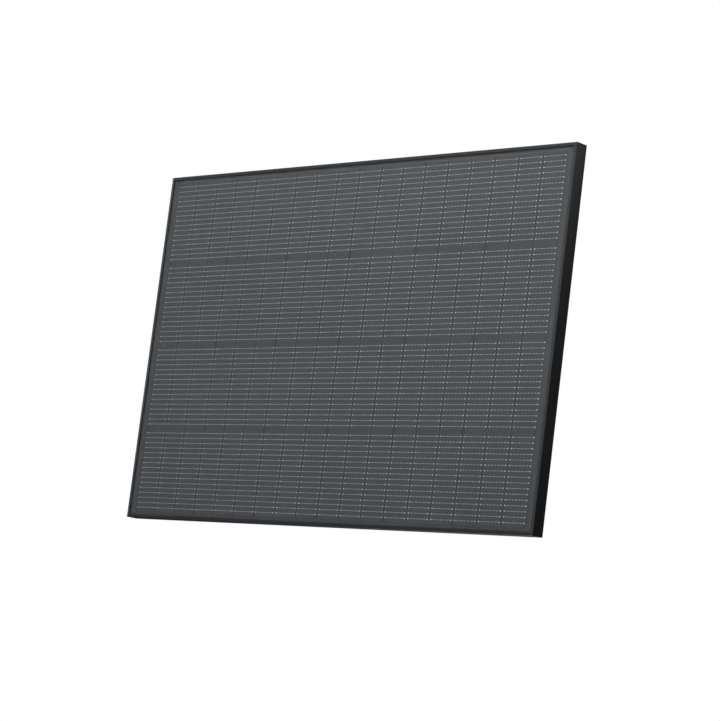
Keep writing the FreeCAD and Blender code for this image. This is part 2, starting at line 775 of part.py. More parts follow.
def lid_screws():
    """Cross-head screws."""
    body = new_body("lid_screws_body")
    head = size.lid_top + size.head_sunk
    sketch = screw_circles(body, "screw_heads", head, size.screw_head / 2)
    pad(body, sketch, size.head_thick)
    sketch = screw_circles(body, "screw_shanks", size.lid_top + size.shank_start,
                           size.screw_dia / 2)
    pad(body, sketch, size.shank_length)
    sketch = new_sketch(body, "screw_crosses", "XZ_Plane", head)
    a, c = size.cross_half, size.cross_reach
    cross = [(a, a), (a, c), (-a, c), (-a, a), (-c, a), (-c, -a),
             (-a, -a), (-a, -c), (a, -c), (a, -a), (c, -a), (c, a)]
    for x, z in screw_spots():
        polygon(sketch, [(x + right, z + up) for right, up in cross])
    pocket(body, sketch, size.cross_deep, flip=True)
    keep("lid_screws", body)


# Terminal plate outlines, (x, z)
TERMINALS = {
    "terminal_pos": [(-536.0, -26.0), (-526.0, -26.0), (-526.0, 16.0),
                     (-480.0, 16.0), (-480.0, 28.0), (-536.0, 28.0)],
    "terminal_neg": [(-519.0, -28.0), (-480.0, -28.0), (-480.0, -16.0),
                     (-500.0, -16.0), (-500.0, 8.0), (-519.0, 8.0)],
}


def diode(number, z):
    """Barrel on a bent wire with a foot on each terminal plate."""
    name = "diode_%d_" % number
    axis, half = plate_rear - size.diode_rise, size.stem_half
    left, right = size.stem_left, size.stem_right
    barrel = round_solid("Cylinder", name + "barrel", size.diode_start, axis, z,
                         Radius=size.diode_radius, Height=size.diode_length)
    wires = [block(name + piece, x0, x1, axis - half, front, z - half, z + half)
             for piece, x0, x1, front in (
                 ("stem", left, right, axis + half),
                 ("foot_a", left, left + half * 2, plate_rear),
                 ("foot_b", right - half * 2, right, plate_rear))]
    return fuse("diode_%d" % number, [barrel] + wires)


cable_radius = size.cable_dia / 2
keep("box_adhesive", cut(
    "box_adhesive_ring",
    box_layer("adhesive_block", size.glue_outer, size.box_floor, size.sheet_rear),
    box_layer("adhesive_space", size.glue_inner, size.box_floor - CLEAR,
              size.sheet_rear + CLEAR)))
box_base()
keep("lid_seal", flat_body("lid_seal_body", "lid_seal_plan", size.box_top,
                           size.box_top + size.seal_deep, seal_outlines()))
box_lid()
lid_screws()
for node, outline in TERMINALS.items():
    keep(node, flat_body(node + "_body", node + "_plan", plate_rear, floor_rear, [outline]))
keep("bypass_diodes", group("bypass_diodes_group", [diode(0, -8.0), diode(1, -16.0)]))

# ---------------------------------------------------------------- leads


def cable_boot(number, lead_z):
    x0 = size.box_right
    cone = round_solid("Cone", "boot_cone_%d" % number, x0, size.lead_depth, lead_z,
                       Radius1=size.boot_root, Radius2=size.boot_tip, Height=size.boot_length)
    return cut("boot_%d" % number, cone, rod("boot_bore_%d" % number, x0 - CLEAR,
                                             x0 + size.boot_length + CLEAR,
                                             lead_z, cable_radius))


def cable_core(number, lead_z):
    """Stripped core with a tag down to its terminal plate."""
    core = rod("core_rod_%d" % number, size.cable_start - size.core_length,
               size.cable_start, lead_z, size.core_radius)
    tag = block("core_tag_%d" % number, size.tag_left, size.tag_right,
                size.lead_depth - size.tag_over, plate_rear,
                lead_z - size.tag_half, lead_z + size.tag_half)
    return fuse("core_%d" % number, [core, tag])


def cable_clip(number, lead_z):
    x0, x1 = size.clip_left - size.foot_over, size.clip_right + size.foot_over
    foot = block("clip_foot_%d" % number, x0, x1,
                 size.sheet_rear - size.foot_thick, size.sheet_rear,
                 lead_z - size.foot_half, lead_z + size.foot_half)
    saddle = block("clip_saddle_%d" % number, size.clip_left, size.clip_right,
                   size.lead_depth - size.saddle_over, size.sheet_rear - size.saddle_sunk,
                   lead_z - size.saddle_half, lead_z + size.saddle_half)
    return cut("clip_%d" % number, fuse("clip_block_%d" % number, [foot, saddle]),
               rod("clip_bore_%d" % number, x0 - CLEAR, x1 + CLEAR, lead_z, cable_radius))


def free_cable(word, sign, connector_x):
    """Cable with a gentle outward step, from the pivot to the connector.

    Returns the height of the connector's axis.
    """
    body = new_body("cable_%s_free_body" % word)
    radius, angle, run = size.bend_radius, size.bend_deg, size.bend_run
    z0 = sign * size.lead_side
    bend_x, bend_z = radius * sine(angle), sign * (radius * (1 - cosine(angle)))
    stops = [(size.swing_x, z0), (size.bend_start, z0)]
    stops.append((stops[1][0] + bend_x, z0 + bend_z))
    stops.append((stops[2][0] + run * cosine(angle), stops[2][1] + sign * (run * sine(angle))))
    stops.append((stops[3][0] + bend_x, stops[3][1] + bend_z))
    stops.append((connector_x + size.contact_at, stops[4][1]))
    path = new_sketch(body, "cable_%s_path" % word, "XZ_Plane", size.lead_depth)
    circles = [Part.Circle(point(x, z), Vector(0, 0, 1), radius.value)
               for x, z in ((stops[1][0], z0 + sign * radius),
                            (stops[4][0], stops[4][1] - sign * radius))]
    turn, quarter = math.radians(angle.value), math.pi / 2
    # arcs run anticlockwise, so where one starts and which end leads depend on the side
    if sign > 0:
        starts, joints = (-quarter, quarter), ((1, 2), (2, 1))
    else:
        starts, joints = (quarter - turn, -quarter - turn), ((2, 1), (1, 2))
    bends = [Part.ArcOfCircle(c, start, start + turn) for c, start in zip(circles, starts)]
    runs = [Part.LineSegment(point(*stops[i]), point(*stops[i + 1])) for i in (0, 2, 4)]
    path.addGeometry([runs[0], bends[0], runs[1], bends[1], runs[2]], False)
    for arc, (near, far) in zip((1, 3), joints):
        path.addConstraint(Sketcher.Constraint("Coincident", arc - 1, 2, arc, near))
        path.addConstraint(Sketcher.Constraint("Coincident", arc, far, arc + 1, 1))
    for straight in (0, 2, 4):
        pin(path, straight, 1, *stops[straight])
        pin(path, straight, 2, *stops[straight + 1])
    for arc in (1, 3):
        constrain(path, "Radius", arc, radius)
    section = new_sketch(body, "cable_%s_section" % word, "YZ_Plane", size.swing_x)
    circle(section, -size.lead_depth, z0, cable_radius)
    doc.recompute()
    pipe = body.newObject("PartDesign::AdditivePipe", "cable_%s_pipe" % word)
    pipe.Profile = section
    pipe.Spine = (path, ["Edge%d" % (i + 1) for i in range(5)])
    finish(body, pipe)
    # ball end at the pivot
    ball = body.newObject("PartDesign::AdditiveSphere", "cable_%s_ball" % word)
    ball.setExpression("Radius", cable_radius.text)
    ball.AttachmentSupport = None
    ball.MapMode = "Deactivated"
    place(ball, size.swing_x, size.lead_depth, z0)
    finish(body, ball)
    keep("cable_%s_free" % word, body)
    return stops[4][1]


lead_heights = (size.lead_side, -size.lead_side)
for node, name, build in (("cable_boots", "cable_boots_group", cable_boot),
                          ("cable_cores", "cable_cores_group", cable_core),
                          ("cable_clips", "cable_clips_group", cable_clip)):
    keep(node, group(name, [build(n, lead_z) for n, lead_z in enumerate(lead_heights)]))

# Each lead is split at the pivot: this part stays put, the rest swings with the connector
for node, lead_z in zip(("cable_pos_fixed", "cable_neg_fixed"), lead_heights):
    keep(node, rod(node + "_rod", size.cable_start,
                   size.swing_x - (cable_radius + size.swing_gap), lead_z, cable_radius))

keep("polarity_sleeve", cut(
    "polarity_sleeve_tube",
    rod("sleeve_rod", size.sleeve_left, size.sleeve_right, size.lead_side,
        cable_radius + size.sleeve_thick),
    rod("sleeve_bore", size.sleeve_left - CLEAR, size.sleeve_right + CLEAR,
        size.lead_side, cable_radius)))
plug_z = free_cable("pos", 1, size.plug_x)
socket_z = free_cable("neg", -1, size.socket_x)

# ---------------------------------------------------------------- connectors

thread_radius = size.thread_dia / 2
nut_radius = size.nut_dia / 2
contact = size.contact_at

# Turned profiles, (distance along the axis, radius)
COLLAR = [(7, thread_radius), (17, thread_radius), (17, 8.0), (18, 8.3), (24, 8.3), (25, 8.0)]
CABLE_BORE = [(contact, cable_radius), (9, cable_radius), (9, 5.1), (7, 5.1)]
PLUG = COLLAR + [
    (25, 5.6), (38.8, 5.6), (38.8, 4.8), (41.2, 4.8), (41.2, 5.6), (45.4, 5.6),
    (46, 5.0), (46, 2.6), (30, 2.6), (30, 1.6), (contact, 1.6)] + CABLE_BORE
PLUG_PIN = [(contact, 0), (contact, 1.6), (42.5, 1.6), (44, 0.8), (44, 0)]
SOCKET = COLLAR + [
    (45.4, 8.0), (46, 7.4), (46, 6.5), (27, 6.5), (27, 2.2), (contact, 2.2)] + CABLE_BORE
SOCKET_SLEEVE = [(contact, 0), (contact, 2.2), (40, 2.2), (40, 1.7), (25, 1.7), (25, 0)]
NUT = [
    (0.8, cable_radius + size.nut_bore_gap), (0, cable_radius + size.nut_mouth_gap),
    (0, nut_radius - 1.6), (1.6, nut_radius), (17, nut_radius),
    (17, thread_radius + size.thread_gap), (4, thread_radius + size.thread_gap),
    (4, cable_radius + size.nut_bore_gap)]
CAGE = [(4, cable_radius + 0.05), (4, 5.0), (8.4, 5.0), (9, 4.4), (9, cable_radius + 0.05)]
# Upper spring arm of the plug, (distance along the axis, distance from it)
PLUG_ARM = [(24.0, 7.0), (41.0, 7.0), (41.0, 8.4), (38.6, 9.4), (37.4, 9.4), (37.4, 8.2),
            (24.0, 8.2)]


def turned(node, section_name, x0, lead_z, profile):
    body = new_body(node + "_body")
    revolve(body, section_name, x0, lead_z, profile)
    keep(node, body)
    return body


def grip_nut(node, x0, lead_z):
    body = turned(node, node + "_section", x0, lead_z, NUT)
    flutes = new_sketch(body, node + "_flutes", "YZ_Plane", x0 + size.flute_start)
    reach = nut_radius + size.flute_out
    for k in range(12):
        angle = dim(30.0 * k + 15.0)
        circle(flutes, -size.lead_depth + reach * cosine(angle),
               lead_z + reach * sine(angle), size.flute_radius)
    pocket(body, flutes, size.flute_length, flip=True)


def cage(node, x0, lead_z):
    body = turned(node, node + "_section", x0, lead_z, CAGE)
    slits = new_sketch(body, node + "_slits", "XY_Plane", lead_z - size.slit_reach)
    rectangle(slits, x0 + size.slit_start, x0 + size.slit_end,
              -size.lead_depth - size.slit_half, -size.lead_depth + size.slit_half)
    pocket(body, slits, size.slit_reach * 2, flip=True)


def plug():
    """Front barrel with two spring arms, pin contact and sealing ring."""
    x0 = size.plug_x
    body = turned("plug_body", "plug_section", x0, plug_z, PLUG)
    arms = new_sketch(body, "plug_arms", "XZ_Plane", size.lead_depth - size.arm_half)
    for sign in (1, -1):
        polygon(arms, [(x0 + along, plug_z + sign * out) for along, out in PLUG_ARM])
    pad(body, arms, size.arm_half * 2)
    turned("plug_pin", "plug_pin_section", x0, plug_z, PLUG_PIN)
    keep("plug_ring", round_solid("Torus", "plug_ring_torus", x0 + size.ring_at,
                                  size.lead_depth, plug_z,
                                  Radius1=size.ring_major, Radius2=size.ring_minor))


def socket():
    """Barrel with two catch windows around a sleeve contact."""
    x0 = size.socket_x
    body = turned("socket_body", "socket_section", x0, socket_z, SOCKET)
    windows = new_sketch(body, "socket_windows", "XY_Plane")
    rectangle(windows, x0 + size.window_start, x0 + size.window_end,
              -size.lead_depth - size.window_half, -size.lead_depth + size.window_half)
    pocket(body, windows, mid=True)
    turned("socket_sleeve", "socket_sleeve_section", x0, socket_z, SOCKET_SLEEVE)


plug()
socket()
for word, x0, lead_z in (("plug", size.plug_x, plug_z), ("socket", size.socket_x, socket_z)):
    grip_nut(word + "_nut", x0, lead_z)
    cage(word + "_cage", x0, lead_z)

# ---------------------------------------------------------------- check and write

doc.recompute()
bad = [o.Name for o in doc.Objects if {"Invalid", "Error"} & set(o.State)]
if bad:
    raise ValueError("objects in error: %s" % bad)
os.makedirs("parts", exist_ok=True)
for node, obj in parts:
    shape = obj.Shape
    if shape.isNull() or not shape.isValid() or not shape.Solids:
        raise ValueError("bad shape: %s" % node)
    shape.exportStep("parts/%s.step" % node)
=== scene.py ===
# A framed solar panel standing upright: width along X, height along Z, glass facing -Y.
# The junction box is on the rear (+Y) and its two leads run toward +X, one above the other.
import math
import random

import bmesh
import bpy
from mathutils import Matrix, Vector


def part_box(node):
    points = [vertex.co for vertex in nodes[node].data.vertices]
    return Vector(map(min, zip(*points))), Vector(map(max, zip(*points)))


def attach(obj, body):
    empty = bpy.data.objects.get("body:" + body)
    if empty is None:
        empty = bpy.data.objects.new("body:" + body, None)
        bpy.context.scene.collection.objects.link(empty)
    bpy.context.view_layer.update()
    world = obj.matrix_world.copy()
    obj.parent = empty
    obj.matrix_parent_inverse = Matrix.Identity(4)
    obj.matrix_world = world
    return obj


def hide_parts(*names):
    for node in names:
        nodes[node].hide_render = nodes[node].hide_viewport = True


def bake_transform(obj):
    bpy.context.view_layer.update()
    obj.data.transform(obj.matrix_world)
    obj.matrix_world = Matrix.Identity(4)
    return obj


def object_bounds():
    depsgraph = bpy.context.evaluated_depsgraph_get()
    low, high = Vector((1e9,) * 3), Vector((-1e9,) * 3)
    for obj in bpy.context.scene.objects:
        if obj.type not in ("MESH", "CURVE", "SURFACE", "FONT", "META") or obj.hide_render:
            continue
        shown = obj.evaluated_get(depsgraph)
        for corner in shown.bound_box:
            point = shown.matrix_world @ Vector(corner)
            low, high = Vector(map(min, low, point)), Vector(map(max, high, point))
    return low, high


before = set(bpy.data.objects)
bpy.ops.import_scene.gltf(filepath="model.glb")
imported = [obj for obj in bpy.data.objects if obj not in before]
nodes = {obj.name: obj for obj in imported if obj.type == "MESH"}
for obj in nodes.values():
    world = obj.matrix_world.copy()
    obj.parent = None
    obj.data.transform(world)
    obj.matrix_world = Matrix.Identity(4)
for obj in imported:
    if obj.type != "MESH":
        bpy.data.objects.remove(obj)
cad_lo, cad_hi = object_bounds()
scene = bpy.context.scene
scene.view_settings.view_transform = "Standard"
scene.view_settings.look = "None"
scene.view_settings.exposure = 0.0
scene.view_settings.gamma = 1.0
random.seed(11)

# ------------------------------------------------------------ driving dimensions

COLUMNS, ROWS = 18, 4
COLUMN_PITCH = 0.06215
ROW_PITCH = 0.1848
CELL_WIDTH, CELL_HEIGHT = 0.06067, 0.182
CELL_CROP = 0.0073  # cropped corners of each group of three cells
WIRES_PER_CELL = 16
WIRE_PITCH = 0.011
LEAD_Z = 0.022  # height of each lead above or below the box centre
POLES = (("pos", 1), ("neg", -1))  # pole, side of the centre along Z


# ------------------------------------------------------------ node helper

PRINCIPLED_INPUTS = {
    "color": "Base Color", "rough": "Roughness", "metal": "Metallic", "normal": "Normal",
    "ior": "IOR", "spec": "Specular IOR Level", "sheen": "Sheen Weight",
}


class Tree:
    """Adds and links shader nodes. Kinds are given without their "ShaderNode" prefix."""

    def __init__(self, owner):
        owner.use_nodes = True
        self.owner = owner
        self.node_tree = owner.node_tree
        self.node_tree.nodes.clear()

    def add(self, kind, inputs=None, **props):
        node = self.node_tree.nodes.new("ShaderNode" + kind)
        for key, value in props.items():
            setattr(node, key, value)
        for key, value in (inputs or {}).items():
            self.put(node.inputs[key], value)
        return node

    def get(self, kind, inputs=None, output=0, **props):
        """Adds a node and returns one of its outputs."""
        return self.add(kind, inputs, **props).outputs[output]

    def put(self, socket, value):
        if isinstance(value, bpy.types.NodeSocket):
            self.node_tree.links.new(value, socket)
        else:
            if socket.type == "RGBA" and len(value) == 3:
                value = (*value, 1.0)
            socket.default_value = value

    def math(self, operation, *values):
        return self.get("Math", dict(enumerate(values)), operation=operation)

    def vector_math(self, operation, *values):
        output = 1 if operation in ("DOT_PRODUCT", "LENGTH") else 0
        return self.get("VectorMath", dict(enumerate(values)), output, operation=operation)

    def mix(self, factor, first, second):
        return self.get("Mix", {0: factor, 6: first, 7: second}, 2, data_type="RGBA")

    def mix_shader(self, factor, first, second):
        return self.get("MixShader", {0: factor, 1: first, 2: second})

    def ramp(self, value, start, end, low=0.0, high=1.0, kind="SMOOTHSTEP"):
        """Maps start..end to low..high."""
        inputs = {0: value, 1: start, 2: end, 3: low, 4: high}
        return self.get("MapRange", inputs, interpolation_type=kind)

    def spread(self, noise, low=0.0, high=1.0):
        """Maps the usual span of a noise to low..high."""
        return self.ramp(noise, start=0.3, end=0.7, low=low, high=high)

    def split(self, vector):
        """The x, y and z sockets of a vector."""
        return self.add("SeparateXYZ", {0: vector}).outputs

    def coords(self, stretch=(1, 1, 1)):
        """Object coordinates scaled per axis."""
        place = self.get("TexCoord", output="Object")
        return self.get("Mapping", {"Vector": place, "Scale": stretch})

    def noise(self, scale=1.0, detail=3.0, rough=0.55, stretch=(1, 1, 1), coords=None):
        if coords is None:
            coords = self.coords(stretch)
        inputs = {"Vector": coords, "Scale": scale, "Detail": detail, "Roughness": rough}
        return self.get("TexNoise", inputs, "Fac")

    def bump(self, height, strength, distance):
        inputs = {"Height": height, "Strength": strength, "Distance": distance}
        return self.get("Bump", inputs, "Normal")

    def faces_glass(self):
        """1 on surfaces that face -Y, toward the glass."""
        facing = self.split(self.get("NewGeometry", output="True Normal"))[1]
        return self.math("LESS_THAN", facing, -0.5)

    def principled(self, **values):
        inputs = {PRINCIPLED_INPUTS[key]: value for key, value in values.items()}
        return self.get("BsdfPrincipled", inputs)

    def finish(self, shader, kind="OutputMaterial"):
        self.add(kind, {"Surface": shader})
        return self.owner


def material_tree(name):
    return Tree(bpy.data.materials.new(name))


def scaled(color, factor):
    return tuple(min(1.0, channel * factor) for channel in color)


# ------------------------------------------------------------ materials

LINES_ALONG_X = (1.5, 900, 900)
LINES_ALONG_Z = (900, 900, 1.5)


def anodised(name, stretch, spec=0.43):
    """Black anodised extrusion: drawn lines, a slightly dusty bloom and worn arrises."""
    tree = material_tree(name)
    lines = tree.noise(detail=4.0, rough=0.6, stretch=stretch)
    cloud = tree.noise(detail=4.0, stretch=(7, 7, 7))
    grit = tree.noise(scale=2600.0, detail=2.0)
    color = tree.mix(tree.spread(cloud), (0.0105, 0.0112, 0.0118), (0.0145, 0.0152, 0.016))
    line_tint = tree.ramp(lines, start=0.35, end=0.75, high=0.35)
    color = tree.mix(line_tint, color, (0.024, 0.0245, 0.0255))
    # edges polish a little lighter
    rounded = tree.get("Bevel", {"Radius": 0.0007}, samples=4)
    normal = tree.get("NewGeometry", output="Normal")
    edge = tree.math("SUBTRACT", 1.0, tree.vector_math("DOT_PRODUCT", rounded, normal))
    edge = tree.ramp(edge, start=0.02, end=0.3, high=0.5)
    wear = tree.math("MULTIPLY", edge, tree.ramp(cloud, start=0.35, end=0.65))
    color = tree.mix(wear, color, (0.075, 0.077, 0.08))
    rough = tree.math("ADD", tree.spread(lines, low=0.36, high=0.46),
                      tree.spread(grit, low=-0.02, high=0.03))
    relief = tree.math("ADD", lines, tree.math("MULTIPLY", grit, 0.5))
    relief = tree.bump(relief, strength=0.22, distance=0.00012)
    return tree.finish(tree.principled(color=color, rough=rough, metal=0.0, normal=relief,
                                       spec=spec, ior=1.5))


def solar_glass():
    """Low-iron glass, matte anti-reflective front: sharp refraction, soft hazy reflection."""
    tree = material_tree("glass_matte_ar")
    coords = tree.coords()
    pebble = tree.noise(scale=1500.0, detail=2.0, rough=0.5, coords=coords)
    broad = tree.noise(scale=3.0, detail=2.0, coords=coords)
    relief = tree.bump(pebble, strength=0.10, distance=0.00005)
    fresnel = tree.get("Fresnel", {"IOR": 1.42, "Normal": relief})
    haze_rough = tree.spread(broad, low=0.42, high=0.46)
    haze = tree.get("BsdfGlossy", {"Color": (0.95, 0.975, 1.0), "Roughness": haze_rough,
                                   "Normal": relief})
    bend = tree.get("BsdfRefraction", {"Color": (0.97, 0.985, 0.98), "Roughness": 0.0,
                                       "IOR": 1.5})
    dust = tree.get("BsdfDiffuse", {"Color": (0.55, 0.56, 0.58)})
    front = tree.mix_shader(fresnel, bend, haze)
    front = tree.mix_shader(tree.spread(broad, low=0.010, high=0.018), front, dust)
    clear = tree.get("BsdfTransparent", {"Color": (0.985, 0.99, 0.988)})
    # the rear face is in optical contact with the film behind it, and lamps shine through
    rear_depth = 0.0006
    y = tree.split(tree.get("NewGeometry", output="Position"))[1]
    rear = tree.math("GREATER_THAN", y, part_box("front_glass")[1][1] - rear_depth)
    lamp = tree.get("LightPath", output="Is Shadow Ray")
    return tree.finish(tree.mix_shader(tree.math("MAXIMUM", rear, lamp), front, clear))


def clear_film():
    tree = material_tree("film_clear")
    haze = tree.noise(scale=40.0)
    color = tree.mix(haze, (0.985, 0.985, 0.98), (0.995, 0.995, 0.995))
    return tree.finish(tree.get("BsdfTransparent", {"Color": color}))


def silicon():
    """Dark silicon: very fine fingers across the wires, faint clouds, blue-grey sheen."""
    finger_pitch = 0.00125
    tree = material_tree("silicon_blue_grey")
    x = tree.split(tree.get("TexCoord", output="Object"))[0]
    cloud = tree.noise(scale=9.0, detail=5.0, rough=0.6)
    grain = tree.noise(scale=1800.0, detail=2.0)
    wave = tree.math("SINE", tree.math("MULTIPLY", x, 2 * math.pi / finger_pitch))
    finger = tree.ramp(wave, start=0.80, end=0.98, high=0.16)
    # a darker strip along each cut edge of a cell: partly bare silicon without metal, partly
    # painted shade that deepens the gap line between cells
    cut_strip_and_shade = tree.ramp(tree.math("PINGPONG", x, COLUMN_PITCH / 2),
                    start=0.0011, end=0.0014, low=0.75, high=0.0)
    color = tree.mix(cloud, (0.0378, 0.0374, 0.0450), (0.0452, 0.0446, 0.0528))
    speckle = tree.ramp(grain, start=0.4, end=0.7, high=0.3)
    color = tree.mix(speckle, color, (0.0525, 0.0515, 0.0610))
    color = tree.mix(finger, color, (0.16, 0.165, 0.17))
    color = tree.mix(cut_strip_and_shade, color, (0.010, 0.010, 0.012))
    relief = tree.bump(grain, strength=0.2, distance=0.00004)
    return tree.finish(tree.principled(color=color, rough=tree.spread(cloud, low=0.5, high=0.62),
                                       normal=relief, spec=0.25, ior=1.5))


def tinned(name, base, rough=0.42, black_front=False):
    """Tin-plated copper, with an optional black coat on the side that faces the glass."""
    tree = material_tree(name)
    cloud = tree.noise(detail=4.0, stretch=(260, 260, 260))
    grain = tree.noise(detail=2.0, stretch=(3000, 3000, 3000))
    color = tree.mix(tree.spread(cloud), scaled(base, 0.72), base)
    metal = 0.35
    if black_front:
        coat = tree.faces_glass()
        color = tree.mix(coat, color, (0.022, 0.0223, 0.0235))
        metal = tree.math("MULTIPLY", tree.math("SUBTRACT", 1.0, coat), metal)
    rough = tree.spread(cloud, low=rough - 0.06, high=rough + 0.1)
    relief = tree.bump(grain, strength=0.15, distance=0.00003)
    return tree.finish(tree.principled(color=color, rough=rough, metal=metal, normal=relief,
                                       spec=0.5))


def moulded(name, base, rough=0.5, grain_scale=2200.0, relief=0.25, light=1.35):
    """Moulded plastic: spark-eroded grain, flow clouding, slightly lighter rubbed spots."""
    tree = material_tree(name)
    grain = tree.noise(scale=grain_scale)
    cloud = tree.noise(scale=22.0, detail=4.0)
    lighter = scaled(base, light)
    color = tree.mix(tree.spread(cloud), base, lighter)
    rubbed = tree.ramp(grain, start=0.55, end=0.8, high=0.4)
    color = tree.mix(rubbed, color, scaled(lighter, 1.2))
    rough = tree.spread(grain, low=rough - 0.05, high=rough + 0.07)
    normal = tree.bump(grain, strength=relief, distance=0.00006)
    return tree.finish(tree.principled(color=color, rough=rough, normal=normal, spec=0.45))


def rubbery(name, base, rough=0.62):
    tree = material_tree(name)
    grain = tree.noise(scale=1400.0)
    cloud = tree.noise(scale=35.0, detail=4.0)
    color = tree.mix(tree.spread(cloud), base, scaled(base, 1.6))
    rough = tree.spread(grain, low=rough - 0.06, high=rough + 0.08)
    relief = tree.bump(grain, strength=0.3, distance=0.00005)
    return tree.finish(tree.principled(color=color, rough=rough, sheen=0.12, normal=relief,
                                       spec=0.4))


def back_film():
    """Black laminated sheet. The cells and ribbons under it show as very faint steps."""
    field_half_x = 0.5586
    field_half_z = (ROWS - 1) / 2 * ROW_PITCH + CELL_HEIGHT / 2
    tree = material_tree("backsheet_black")
    x, _, z = tree.split(tree.get("TexCoord", output="Object"))

    def line_distance(axis, pitch, shift=0.0):
        """Distance to the nearest of a set of evenly spaced lines."""
        return tree.math("PINGPONG", tree.math("ADD", axis, shift), pitch / 2)

    column_gap = tree.ramp(line_distance(x, COLUMN_PITCH), start=0.0, end=0.0012,
                           low=1.0, high=0.0)
    row_distance = line_distance(z, ROW_PITCH)
    row_gap = tree.ramp(row_distance, start=0.0, end=0.0018, low=1.0, high=0.0)
    grid = tree.math("MAXIMUM", column_gap, row_gap)
    wire = tree.ramp(line_distance(z, WIRE_PITCH, shift=0.0099), start=0.0, end=0.0006,
                     low=0.25, high=0.0)
    step = tree.math("ADD", tree.math("MULTIPLY", grid, -0.8), wire)
    weave = tree.noise(scale=900.0)
    cloud = tree.noise(scale=6.0, detail=5.0, rough=0.6)
    outer = tree.mix(tree.spread(cloud), (0.026, 0.0265, 0.028), (0.034, 0.0345, 0.036))

    # the side facing the glass: painted shade between the cells, and in the margins a painted
    # light and shade gradient, dark at the bottom and pale at the top
    field = tree.math("MULTIPLY",
                      tree.math("LESS_THAN", tree.math("ABSOLUTE", x), field_half_x),
                      tree.math("LESS_THAN", tree.math("ABSOLUTE", z), field_half_z))
    margin = tree.mix(tree.ramp(z, start=-0.378, end=0.378),
                      (0.0140, 0.0143, 0.0152), (0.0680, 0.0688, 0.0715))
    # painted shade behind the cells: lighter in the straight gap between rows, darkest in the
    # diamonds at the cropped corners and between columns
    crop_distance = tree.math("PINGPONG", x, 1.5 * COLUMN_PITCH)
    straight_row_gap = tree.math("MULTIPLY", tree.math("LESS_THAN", row_distance, 0.0016),
                        tree.math("GREATER_THAN", crop_distance, 0.0045))
    gap_painted_shade = tree.mix(straight_row_gap, (0.004, 0.0041, 0.0044), (0.024, 0.0243, 0.0260))
    color = tree.mix(tree.faces_glass(), outer, tree.mix(field, margin, gap_painted_shade))
    height = tree.math("ADD", step, tree.math("MULTIPLY", weave, 0.25))
    relief = tree.bump(height, strength=0.35, distance=0.00016)
    return tree.finish(tree.principled(color=color, rough=tree.spread(weave, low=0.40, high=0.5),
                                       normal=relief, spec=0.5))


def label_stock():
    """Blank silver label with a printed border and ruled rows."""
    row_pitch, z_weight = 0.125, 0.63  # in fractions of the label; weight of a z margin
    tree = material_tree("label_blank")
    x, _, z = tree.split(tree.get("TexCoord", output="Generated"))
    fibre = tree.noise(scale=700.0)

    def margin(axis):
        return tree.math("MINIMUM", axis, tree.math("SUBTRACT", 1.0, axis))

    edge = tree.math("MINIMUM", margin(x), tree.math("MULTIPLY", margin(z), z_weight))
    border = tree.math("MULTIPLY", tree.ramp(edge, start=0.020, end=0.023),
                       tree.ramp(edge, start=0.028, end=0.031, low=1.0, high=0.0))
    rules = tree.ramp(tree.math("PINGPONG", z, row_pitch / 2), start=0.002, end=0.004,
                      low=1.0, high=0.0)
    rules = tree.math("MULTIPLY", rules, tree.ramp(edge, start=0.07, end=0.075))
    ink = tree.math("MAXIMUM", border, tree.math("MULTIPLY", rules, 0.55))
    color = tree.mix(tree.spread(fibre), (0.34, 0.345, 0.35), (0.40, 0.405, 0.41))
    color = tree.mix(ink, color, (0.04, 0.04, 0.045))
    relief = tree.bump(fibre, strength=0.1, distance=0.00004)
    return tree.finish(tree.principled(color=color, rough=tree.spread(fibre, low=0.38, high=0.5),
                                       metal=0.25, spec=0.5, normal=relief))


def drawn_metal(name, base, rough=0.35):
    tree = material_tree(name)
    grain = tree.noise(stretch=(900, 900, 900))
    cloud = tree.noise(stretch=(60, 60, 60))
    color = tree.mix(tree.spread(cloud), scaled(base, 0.8), base)
    rough = tree.spread(grain, low=rough - 0.06, high=rough + 0.1)
    relief = tree.bump(grain, strength=0.12, distance=0.00004)
    return tree.finish(tree.principled(color=color, rough=rough, metal=0.95, normal=relief))


